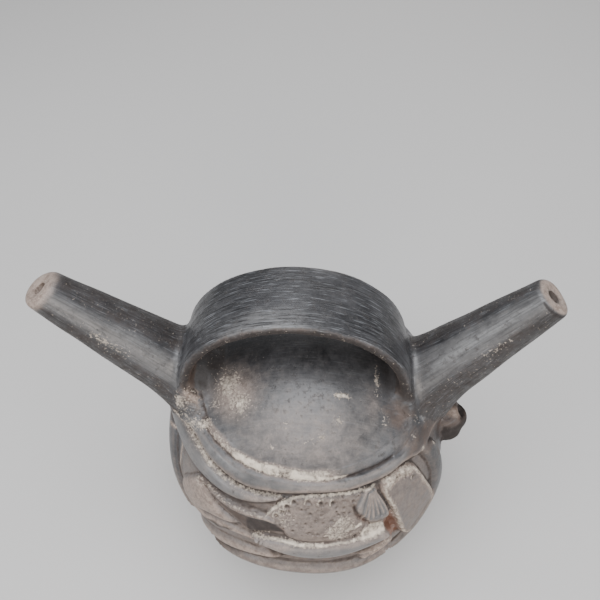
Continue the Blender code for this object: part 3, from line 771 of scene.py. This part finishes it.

# Pale clay shows where the skin is worn or dusty: on the carved front as a whole, and more
# on its crests, but less on the polished rolls, the fan and the leaf face, which is kept dark as
# painted shade.
paint_line(pale, moved(THIN_DEPOSIT[:-1] + CAP_DEPOSIT, 1.8), 0.7)
paint_line(pale, moved(HORN_DEPOSIT, 1.8), 0.75)
paint_line(pale, moved(LIP_DEPOSIT, 1.8), 0.8)
paint_line(pale, edge_of(SHIELD, 1.8, 0.08), 1.0)
on_front = ease((AZ + 70.0) / 12.0) * ease((66.0 - AZ) / 10.0) * ease((36.0 - LAT) / 3.0)
pale = np.maximum(pale, 0.5 * on_front)
# The leaf face loses its pale clay, as painted shade.
wipe_form(pale, LEAF_FACE, 0.9, 2.0)
for roll in (LIP, HORN):
    part, share = drawn(moved(roll, 0.9), 8.0)
    pale[part] *= 1.0 - 0.6 * share
paint_form(pale, SHIELD_TOP, 1.3, 1.0)
paint_form(pale, BROAD_LEAF, 0.85, 1.6)
paint_form(pale, PANEL, 0.6, 1.0)
wipe_form(pale, FAN, 0.75, 1.5)
for leaf in LOW_LEAVES + CHIN_LEAVES:
    paint_line(pale, leaf, 1.1)
paint_line(pale, PLEAT_LINE, 1.2)
paint_line(pale, moved(JAW, 0.5, 1.2), 0.7)
paint_line(pale, LONG_LEAF, 0.8)
for top, foot, low in FLUTES:
    paint_line(pale, ((top + 0.4, 32.4, 0.3), (foot + 1.1, low + 0.8, 0.5)), 0.9)

# The other looks: lines with their strength, then forms with their strength and soft edge.
for sheet, line, amount in (
    (crust, CAP_DEPOSIT, 0.85), (crust, THIN_DEPOSIT, 0.55), (crust, HORN_DEPOSIT, 0.66),
    (crust, PANEL_DEPOSIT, 0.8), (crust, LIP_DEPOSIT, 0.8), (crust, PLEAT_LINE, 0.55),
    (crust, edge_of(SHIELD, 1.0, 0.1), 0.72),
    (crust, [(a, b + 0.6, 0.7) for a, b, _ in LONG_LEAF[1:7]], 0.6),
    (crust, dot(20.6, 20.6, 0.4, 0.7), 1.0), (crust, dot(21.6, 20.9, 0.4, 0.7), 1.0),
    (crust, ((22, -1.2, 0.5), (28, 0.2, 0.6), (34, 3.4, 0.5)), 0.6),
    (crust, ((17, 5.6, 0.5), (24, 5.0, 0.6), (32, 6.0, 0.5)), 0.6),
    (crust, ((-24, 17.0, 0.5), (-18, 16.8, 0.6), (-13, 18.0, 0.5)), 0.7),
    # The grey along the horn, lip and folds is partly the polished clay and partly painted sheen.
    (polish_and_sheen, moved(HORN, 0.9), 0.75), (polish_and_sheen, moved(LIP, 0.9), 0.9),
    (polish_and_sheen, moved(LEFT_FOLD, 0.9), 0.4), (polish_and_sheen, moved(RIGHT_FOLD, 0.9), 0.25),
    # The brown along the hook, the fan's groove and the fan's edge is painted shade in the grooves.
    (rust, moved(HOOK, 1.2), 0.4), (brown, moved(HOOK, 1.8), 0.9),
    (brown, moved(FAN_GROOVE, 1.6), 0.8), (brown, edge_of(FAN, 0.7), 0.9),
    (brown, ((-40, 37.2, 1), (-20, 37.6, 1.2), (0, 38.6, 1.3), (16, 38, 1.2), (34, 36.8, 0.9)), 0.6),
    (brown, ((-70, 26, 2.0), (-63, 22, 2.4), (-62, 12, 2.2), (-58, 4, 1.6)), 0.7),
    (brown, ((50, 36, 3.0), (58, 36, 5.0), (66, 34, 7.0), (76, 28, 8.0), (82, 14, 6.0)), 0.95),
    # Brown and dark under the lip, in the crevice and the leaf groove, along a crease, and four spots
    # standing for holes in the gap under the lip: painted shade.
    (brown, moved(GAP_UNDER_LIP, 2.4, -0.6), 0.9), (shade_and_soot, moved(GAP_UNDER_LIP, 1.5), 0.8),
    (shade_and_soot, CREVICE, 0.75), (shade_and_soot, [(a, b + 0.4, 0.7) for a, b, _ in LEAF_GROOVE], 0.7),
    (shade_and_soot, ((-42, 9.4, 0.7), (-36, 12.2, 0.9), (-30, 14.4, 0.9), (-25, 16, 0.7), (-20, 15.4, 0.6)),
     0.8),
    (shade_and_soot, dot(-2.0, 4.2, 0.7, 1.0), 1.4), (shade_and_soot, dot(5.0, 3.4, 0.7, 1.0), 1.4),
    (shade_and_soot, dot(9.5, 3.0, 0.7, 1.0), 1.4), (shade_and_soot, dot(17.0, 3.4, 0.7, 1.0), 1.4),
):
    paint_line(sheet, line, amount)
for sheet, form, amount, fade in (
    # The grey on the shield and fan is partly polished clay and partly painted sheen.
    (polish_and_sheen, SHIELD, 0.3, 1.2), (polish_and_sheen, FAN, 0.65, 1.0), (rust, RECESS, 1.0, 0.8),
    # The leaf face and tip painted brown and dark, and the dark notch further down, are painted shade
    # on faces turned down and in the notch.
    (brown, SHIELD, 0.5, 3.0), (brown, LEAF_FACE, 1.2, 0.8), (shade_and_soot, LEAF_FACE, 0.42, 1.0),
    (shade_and_soot, LEAF_TIP, 0.8, 0.8), (crust, SHIELD_TOP, 0.62, 1.0),
    (shade_and_soot, ((-42, 3), (-38, 8), (-33, 10), (-27, 13), (-30, 8.4), (-34, 4), (-38, 1)), 0.8, 0.9),
    (crust, ((14, 28), (19, 26), (20.5, 20), (15, 15.8), (8, 17.5), (9, 23)), 0.6, 2.0),
    (crust, ((24, 19), (31, 17.5), (32, 14), (27, 13.4), (21, 15.4)), 0.72, 1.2),
    (crust, ((-12, 28), (-7, 32), (-3, 28), (-6, 22)), 0.5, 1.6),
    (crust, ((-50, 24), (-46, 26), (-42, 24), (-46, 21)), 0.5, 1.2),
):
    paint_form(sheet, form, amount, fade)
# Cream earth at the big pits; the dark dots in the big and small pits are painted shade.
for a, b in BIG_PITS:
    paint_line(crust, ((a - 1.3, b - 0.6, 0.5), (a - 1.0, b + 1.1, 0.6), (a + 0.6, b + 1.4, 0.5)), 0.75)
    paint_line(shade_and_soot, dot(a, b, 0.2, 0.7), 0.9)
for a, b, size in small_pits:
    paint_line(shade_and_soot, dot(a, b, 0.1, size), 0.6)
# Grey along the neck band: partly polished clay and partly painted sheen.
band = np.exp(-((LAT - middle) / np.maximum(half, 1.0)) ** 2)
polish_and_sheen = np.maximum(polish_and_sheen, 0.65 * band * ease((AZ + 75.0) / 15.0) * ease((60.0 - AZ) / 15.0))

# How far each place lies below the worn-smooth carving round it. It is laid on below as painted
# shade in the hollows and as paler crests, partly rubbed clay and partly painted highlight.
hollow = np.clip((soften(carving, 1.2) - carving) / 0.45, -1.0, 1.0)

# Marks away from the carving: place in mm, reach in mm, and strength.
MARKS = {
    "crust": (
        ((-30, -13, 121), (7, 8, 6), 0.72), ((-25, -21, 121), (7, 6, 5), 0.74),
        ((14, -20, 126), (4.4, 1.3, 3), 0.95), ((6.7, -34.8, 121), (2.4, 1.4, 2), 0.75),
        ((13, -29, 123), (1.8, 1.6, 2), 0.85), ((-7, -30.6, 123), (1.4, 1.2, 2), 0.75),
        ((2, -36, 121), (3.4, 1, 2), 0.7), ((-12, -38, 119), (1, 2.2, 3), 0.75),
        ((27.8, -12, 125), (1, 9, 4), 0.85), ((31, -25.5, 120), (1.8, 3.5, 4), 0.75),
        ((42.5, -27, 108), (1.4, 1.4, 2), 0.95), ((46.7, -28.6, 102), (1.4, 1.4, 2), 0.95),
        ((53, -22.8, 96), (1.7, 1.4, 2), 0.95), ((-40, -26, 112), (5, 3, 5), 0.75),
        ((-50, -17, 113), (3.5, 6, 7), 0.95), ((-45, -24, 108), (5, 4, 6), 0.7),
        ((44, -21, 112), (7, 3, 6), 0.36), ((-36, -20, 118), (4, 3, 4), 0.6),
    ),
    "pale": (
        # The second pale mark lightens the front of the cap as painted light from above.
        ((-27, -17, 121), (14, 13, 8), 0.8), ((0, -34, 120), (36, 18, 16), 0.46),
        ((26, -22, 122), (5, 9, 8), 0.42), ((38, -30, 108), (8, 5, 8), 0.4),
        ((64.5, -6, 91.5), (3.6, 2.6, 1.8), 1.3), ((71, -4, 88), (1.6, 6, 4), 0.7),
    ),
    # A painted sheen of grey over the front of the cap.
    "polish_and_sheen": (((0, -30, 122), (42, 26, 18), 0.6),),
    "brown": (
        ((37, -22, 117), (8, 8, 8), 1.2), ((50, -25, 103), (10, 7, 8), 1.1),
        ((58, -20, 92), (8, 9, 9), 0.9),
    ),
    # Painted shade: the inner sides of the strap's feet, the cap under the strap, and the far right of
    # the strap's top.
    "shade_and_soot": (
        ((40, -16, 119), (5, 6, 8), 0.9), ((-41, -12, 122), (5, 8, 8), 0.95),
        ((20, 4, 160), (16, 12, 8), 0.4), ((2, -14, 129), (18, 3.5, 6), 0.4),
        ((34, -10, 124), (5.5, 12, 7), 0.95), ((-38, -6, 121), (5, 13, 7), 0.95),
    ),
}

count = len(hollowed.vertices)
places = np.empty(count * 3)
hollowed.vertices.foreach_get("co", places)
places = places.reshape(count, 3) * 1000.0
azimuth, latitude, gap = body_place(places)
on_carving = (ease((SHEET_TOP - 1.0 - latitude) / 2.0) * ease((latitude - SHEET_FOOT - 1.0) / 3.0)
              * ease((8.0 - gap) / 3.0))
sheets = {"crust": crust, "pale": pale, "polish_and_sheen": polish_and_sheen, "brown": brown, "shade_and_soot": shade_and_soot, "rust": rust}
looks = {name: on_sheet(sheet, azimuth, latitude) * on_carving for name, sheet in sheets.items()}


def lay(name, share):
    """A look laid on the skin wherever it is stronger than what is there."""
    looks[name] = np.maximum(looks[name], share)


# Painted shade: brown and dark in the hollows. The crests are painted paler, partly as rubbed clay and
# partly as painted highlight.
relief_shading = on_sheet(hollow, azimuth, latitude) * on_carving
lay("brown", 0.95 * np.clip(relief_shading, 0.0, 1.0))
lay("shade_and_soot", 0.95 * np.clip(relief_shading - 0.25, 0.0, 1.0))
lay("pale", 0.7 * np.clip(-relief_shading - 0.1, 0.0, 1.0))

# The undersides of the main rolls get painted shade: brown and dark, with less pale clay.
for roll in (HORN, LIP, LOW_LEAVES[0], LOW_LEAVES[1]):
    under = np.zeros_like(carving)
    paint_line(under, [(a, b - 1.05 * w, 0.55 * w) for a, b, w in roll], 1.0)
    share = on_sheet(under, azimuth, latitude) * on_carving
    lay("brown", 1.1 * share)
    lay("shade_and_soot", 0.42 * share)
    looks["pale"] = looks["pale"] * (1.0 - 0.5 * share)
for name, marks in MARKS.items():
    for centre, reach, amount in marks:
        lay(name, amount * np.exp(-np.sum(((places - centre) / reach) ** 2, axis=1)))

# Each spout has a pale worn tip, a painted sheen of grey along a middle band given in degrees
# round it, brown speckled flanks painted darker, partly as mottled clay and partly as painted
# shade towards the tube's sides, and a scuff. The rubbing strokes run lengthwise on spouts and
# strap, level round the body and across the cap.
WORN_TIP = {"left": 6.0, "right": 1.4}
SHEEN_BAND = {"left": (40.0, 66.0), "right": (16.0, 56.0)}
SCUFF = {"left": 0.6, "right": 0.45}
TIP_CRACK = {"left": 0.0, "right": 1.2}
gaps = [gap - on_sheet(carving, azimuth, latitude) * on_carving]
round_body = np.stack([np.radians(azimuth) * BELLY_RADIUS, np.radians(latitude) * BELLY_HEIGHT,
                       np.zeros(count)], axis=1)
strokes = [np.where((latitude > CAP_EDGE)[:, None], places, round_body)]
strength = [0.2 * ease((178.0 - np.abs(azimuth)) / 6.0)]
for name, side, tilt, length, slant in SPOUTS:
    root, ahead = spout_axis(side, tilt)
    worn = WORN_TIP[name]
    offset = places - root
    along = offset @ ahead
    turn = np.arctan2(-offset[:, 1], offset @ np.array([-side * ahead[2], 0.0, abs(ahead[0])]))
    gaps.append(spout_gap(places, side, tilt, length, slant))
    strokes.append(np.stack([along + 200.0, turn * 11.0, np.zeros(count)], axis=1))
    on_spout = (gaps[-1] < 1.5) & (along > 0.0)
    degrees = np.degrees(turn)
    tip = ease((along - length + worn) / worn) * (gaps[-1] < 2.0)
    under, over = SHEEN_BAND[name]
    flank = np.maximum(ease((degrees - over) / 18.0), ease((under - degrees) / 24.0))
    flank = flank * on_spout * (1.0 - tip)
    crack = np.exp(-((along - length + 1.6) / 0.5) ** 2) * ease((degrees - 30.0) / 20.0)
    scuff = np.exp(-((along - 0.62 * length) / 12.0) ** 2 - ((degrees - 70.0) / 12.0) ** 2) * on_spout
    strength.append((0.5 + 0.5 * flank) * (0.4 + 0.6 * ease(along / 28.0)))
    # The middle band takes the painted sheen; the darkness of the flanks is partly painted shade.
    for look, share in (("brown", 0.5 * flank), ("shade_and_soot", 0.6 * flank), ("crust", 0.19 * flank),
                        ("polish_and_sheen", 0.54 * (1.0 - flank) * on_spout), ("pale", 1.1 * tip),
                        ("crust", 0.32 * tip), ("shade_and_soot", TIP_CRACK[name] * crack),
                        ("crust", SCUFF[name] * scuff)):
        lay(look, share)

# The strap: bright strokes on its top, a painted sheen on the near left of its top, a brown thin
# rim with its inner half painted dark as shade, pale earth at its left foot, and an underside
# painted brown and a little paler, partly its clay and partly painted light reflected from below.
row, through = strap_place(places)
gaps.append(strap_gap(places))
across = places[:, 1] + STRAP_FORWARD
strokes.append(np.stack([row * 1.2 + 500.0, across, np.zeros(count)], axis=1))
strength.append(np.where((through > 0.5) & (places[:, 2] > 118.0), 1.0, 0.0))
on_strap = (gaps[-1] < 1.2) & (places[:, 2] > 116.0)
rim = np.exp(-(STRAP_WIDTH / 2 - np.abs(across)) ** 2) * on_strap
painted_strap_sheen = (on_strap * (through > 0.5) * ease((-across - 1.0) / 9.0)
         * np.exp(-((places[:, 0] + 14.0) / 20.0) ** 2))
foot = (np.exp(-((places[:, 2] - 121.0) / 6.0) ** 2) * (places[:, 0] < 0.0) * (gaps[-1] < 1.6)
        * ease((-across - 13.0) / 2.0) * ease((1.5 - through) / 2.0))
below = (through < -1.0) & on_strap
gaps.append(lug_gap(places))
strokes.append(strokes[0])
strength.append(np.full(count, 0.2))
on_lug = (gaps[-1] < 0.8) & (places[:, 0] > 58.0)
# The inner half of the rim is painted dark as shade.
for look, share in (("brown", 0.9 * rim), ("shade_and_soot", rim * (0.4 + 0.6 * ease((1.6 - through) / 1.6))),
                    # The near left of the strap's top takes a painted sheen.
                    ("crust", 0.2 * rim), ("polish_and_sheen", 0.6 * painted_strap_sheen), ("pale", 1.1 * foot),
                    # The underside is painted brown and a little paler, partly its clay and partly
                    # painted light reflected from below.
                    ("crust", 0.42 * foot), ("brown", 1.1 * below), ("pale", 0.25 * below),
                    ("brown", 1.2 * on_lug),
                    # The lug is darker below 91 mm: painted shade on its lower side.
                    ("shade_and_soot", 0.95 * on_lug * ease((91.0 - places[:, 2]) / 4.0))):
    lay(look, share)

piece = np.argmin(np.stack(gaps), axis=0)
stroke = np.choose(piece[:, None], strokes) / 1000.0
looks["rubbed"] = np.choose(piece, strength)
for name, values in looks.items():
    hollowed.attributes.new(name, "FLOAT", "POINT").data.foreach_set("value", values.astype(np.float32))
hollowed.attributes.new("stroke", "FLOAT_VECTOR", "POINT").data.foreach_set(
    "vector", stroke.astype(np.float32).ravel())


# ----------------------------------------
# Burnished blackware: iron-rich clay rubbed with a pebble when leather hard and fired in smoke.
# It gives the eye a charcoal skin with a soft bluish shine in strokes, dull and brown where it
# is worn, with cream earth in its hollows.
def colour(code):
    """A linear colour from an sRGB hex value."""
    parts = [int(code[i:i + 2], 16) / 255.0 for i in (0, 2, 4)]
    return [p / 12.92 if p <= 0.04045 else ((p + 0.055) / 1.055) ** 2.4 for p in parts] + [1.0]


def add(kind, inputs=None, out=0, **settings):
    """The output of a new node. Each of its inputs is a plain value or the output it is linked to."""
    node = tree.nodes.new("ShaderNode" + kind)
    for key, value in settings.items():
        setattr(node, key, value)
    for key, value in (inputs or {}).items():
        if isinstance(value, bpy.types.NodeSocket):
            tree.links.new(value, node.inputs[key])
        else:
            node.inputs[key].default_value = value
    return node.outputs[out]


blackware = bpy.data.materials.new("burnished_blackware")
blackware.use_nodes = True
tree = blackware.node_tree
shader = tree.nodes["Principled BSDF"]
place = add("TexCoord", out="Object")


def patches(name, grain, spread, low, high, most):
    """Where an attribute of the skin shows, at most by a share, its edge broken up by a grain."""
    amount = add("Attribute", out="Fac", attribute_name=name)
    broken = add("Math", {0: grain, 1: spread, 2: amount}, operation="MULTIPLY_ADD")
    return add("MapRange", {"Value": broken, "From Min": low + 0.5 * spread,
                            "From Max": high + 0.5 * spread, "To Max": most},
               interpolation_type="SMOOTHSTEP")


# Smoke clouds 20 mm across, mottling 4 mm, crumbs 2.4 mm, grit 0.9 mm: the grit is drawn
# coarser than the real 0.3 mm so that it shows.
clouds, mottle, crumbs, grit = (
    add("TexNoise", {"Vector": place, "Scale": scale, "Detail": detail, "Roughness": rough_by})
    for scale, detail, rough_by in ((50.0, 5.0, 0.55), (260.0, 5.0, 0.65), (420.0, 8.0, 0.8),
                                    (1100, 3, 0.6)))

# Pebble strokes about 20 mm long and 1 mm wide, and finer ones 8 mm by 0.5 mm. A stroke is
# noise stretched along the way the piece was rubbed, and shows between two levels.
stroke_way = add("Attribute", out="Vector", attribute_name="stroke")
rubbed = add("Attribute", out="Fac", attribute_name="rubbed")
stroke_shares = []
for along, across, detail, rough_by, low, high, most in (
        (55.0, 1150.0, 3.0, 0.6, 0.47, 0.64, 0.85), (120.0, 2300.0, 2.0, 0.5, 0.55, 0.72, 0.7)):
    way = add("Mapping", {"Vector": stroke_way, "Scale": (along, across, along)}, vector_type="POINT")
    noise = add("TexNoise", {"Vector": way, "Scale": 1.0, "Detail": detail, "Roughness": rough_by})
    shown = add("MapRange", {"Value": noise, "From Min": low, "From Max": high, "To Max": most},
                interpolation_type="SMOOTHSTEP")
    stroke_shares.append(add("Math", {0: shown, 1: rubbed}, operation="MULTIPLY"))
dark_share, pale_share = stroke_shares

cloudy = clouds
for weight, noise in ((0.22, mottle), (0.35, grit)):
    cloudy = add("Math", {0: noise, 1: weight, 2: cloudy}, operation="MULTIPLY_ADD")
skin_colour = add("ValToRGB", {"Fac": cloudy})
stops = skin_colour.node.color_ramp.elements
for stop, position, tone in zip(stops, (0.52, 1.06), ("0e0e10", "434345")):
    stop.position = position
    stop.color = colour(tone)
brown_share = patches("brown", mottle, 1.8, 0.20, 1.35, 0.8)
shade_and_soot_share = patches("shade_and_soot", mottle, 0.9, 0.20, 0.95, 0.9)
rust_share = patches("rust", mottle, 1.2, 0.20, 1.0, 0.8)
pale_patch = patches("pale", mottle, 0.6, 0.05, 1.1, 0.85)
polish_and_sheen_patch = patches("polish_and_sheen", mottle, 0.7, 0.05, 1.0, 0.8)
crust_share = patches("crust", crumbs, 1.7, 0.48, 0.86, 0.92)
fleck_share = patches("crust", grit, 2.6, 0.52, 0.80, 0.7)
pores, pale_grain = (
    add("MapRange", {"Value": crumbs, "From Min": low, "From Max": high, "To Max": most},
        interpolation_type="SMOOTHSTEP")
    for low, high, most in ((0.53, 0.66, 0.6), (0.40, 0.62, 1.0)))
pale_clay = add("MixRGB", {"Fac": pale_grain, "Color1": colour("746459"), "Color2": colour("a6968a")})

# Each look is laid over the ones before it.
# The first grey layer is partly polished clay and partly painted sheen; the near-black layer after the
# pores is mostly painted shade.
for share, tone in ((polish_and_sheen_patch, "6b6a69"), (brown_share, "46352a"), (dark_share, "0c0c0e"),
                    (pale_share, "75777a"), (pale_patch, pale_clay), (pores, "28221f"),
                    (shade_and_soot_share, "1a1412"), (rust_share, "64412f"), (fleck_share, "aea294"),
                    (crust_share, "cbc0b0")):
    over = colour(tone) if isinstance(tone, str) else tone
    skin_colour = add("MixRGB", {"Fac": share, "Color1": skin_colour, "Color2": over})
tree.links.new(skin_colour, shader.inputs["Base Color"])

# The burnished skin is satin, and each kind of wear makes it duller, as does the painted shade.
dullness = add("Math", {0: mottle, 1: 0.18, 2: 0.25}, operation="MULTIPLY_ADD")
for share, duller in ((brown_share, 0.22), (pale_patch, 0.24), (crust_share, 0.3), (dark_share, 0.1),
                      (shade_and_soot_share, 0.4)):
    dullness = add("Math", {0: share, 1: duller, 2: dullness}, operation="MULTIPLY_ADD")
tree.links.new(dullness, shader.inputs["Roughness"])
shader.inputs["IOR"].default_value = 1.55

# Heights in mm, for the bump's distance of 1 mm.
height = add("Math", {0: grit, 1: 0.04}, operation="MULTIPLY")
for pattern, tall in ((mottle, 0.10), (pores, -0.08), (dark_share, -0.05), (pale_share, 0.03),
                      (crust_share, 0.3), (fleck_share, 0.1)):
    height = add("Math", {0: pattern, 1: tall, 2: height}, operation="MULTIPLY_ADD")
bump = add("Bump", {"Height": height, "Strength": 1.0, "Distance": 0.001})
tree.links.new(bump, shader.inputs["Normal"])

hollowed.materials.clear()
hollowed.materials.append(blackware)
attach(pottery, "root")
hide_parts("bottle")


# ----------------------------------------
# The setting: a plain pale floor, soft light from above and a little from the sides, and the
# camera where the photographer stood, looking down over the bottle's front.
floor_shape = bmesh.new()
bmesh.ops.create_grid(floor_shape, x_segments=1, y_segments=1, size=3000.0)
floor = finished("floor", floor_shape)
paper = bpy.data.materials.new("matt_paper")
paper.use_nodes = True
matt = paper.node_tree.nodes["Principled BSDF"]
matt.inputs["Base Color"].default_value = colour("b9b8b6")
matt.inputs["Roughness"].default_value = 0.9
floor.data.materials.append(paper)

world = bpy.data.worlds.new("studio")
bpy.context.scene.world = world
world.use_nodes = True
sky = world.node_tree.nodes["Background"]
sky.inputs["Color"].default_value = colour("dcdee2")
sky.inputs["Strength"].default_value = 0.5

# Place, aim and size in metres, power in watts.
for name, place, aim, size, power, tint in (
    ("overhead", (-0.05, -0.14, 1.05), (0, 0, 0.08), (0.95, 1.0), 17.0, "f8faff"),
    ("left_window", (-1.0, -0.6, 0.5), (0, 0, 0.08), (0.5, 0.4), 6.0, "fbfdff"),
    ("right_window", (1.0, -0.6, 0.5), (0, 0, 0.08), (0.5, 0.4), 5.5, "fbfdff"),
    ("front_fill", (0.1, -1.0, 0.4), (0, 0, 0.06), (0.7, 0.5), 7.0, "fff4ea"),
    ("back_fill", (0.1, 1.0, 0.45), (0, 0, 0.1), (0.7, 0.5), 1.6, "fff8f2"),
):
    lamp = bpy.data.lights.new(name, "AREA")
    lamp.shape = "RECTANGLE"
    lamp.size, lamp.size_y = size
    lamp.energy = power
    lamp.color = colour(tint)[:3]
    light = bpy.data.objects.new(name, lamp)
    light.location = place
    light.rotation_euler = (Vector(aim) - Vector(place)).to_track_quat("-Z", "Y").to_euler()
    bpy.context.scene.collection.objects.link(light)

CAMERA_PLACE = (0.0067, -0.1392, 0.3249)
CAMERA_DOWN = math.radians(50.0)
CAMERA_YAW = math.radians(3.65)
CAMERA_ROLL = math.radians(-1.73)
lens = bpy.data.cameras.new("camera")
lens.sensor_width = 36.0
lens.lens = 36.0
lens.clip_start = 0.01
lens.clip_end = 20.0
camera = bpy.data.objects.new("camera", lens)
camera.location = CAMERA_PLACE
turns = ((CAMERA_YAW, "Z"), (math.pi / 2 - CAMERA_DOWN, "X"), (CAMERA_ROLL, "Z"))
yaw, pitch, roll = (Matrix.Rotation(angle, 3, axis) for angle, axis in turns)
camera.rotation_euler = (yaw @ pitch @ roll).to_euler()
bpy.context.scene.collection.objects.link(camera)
bpy.context.scene.camera = camera
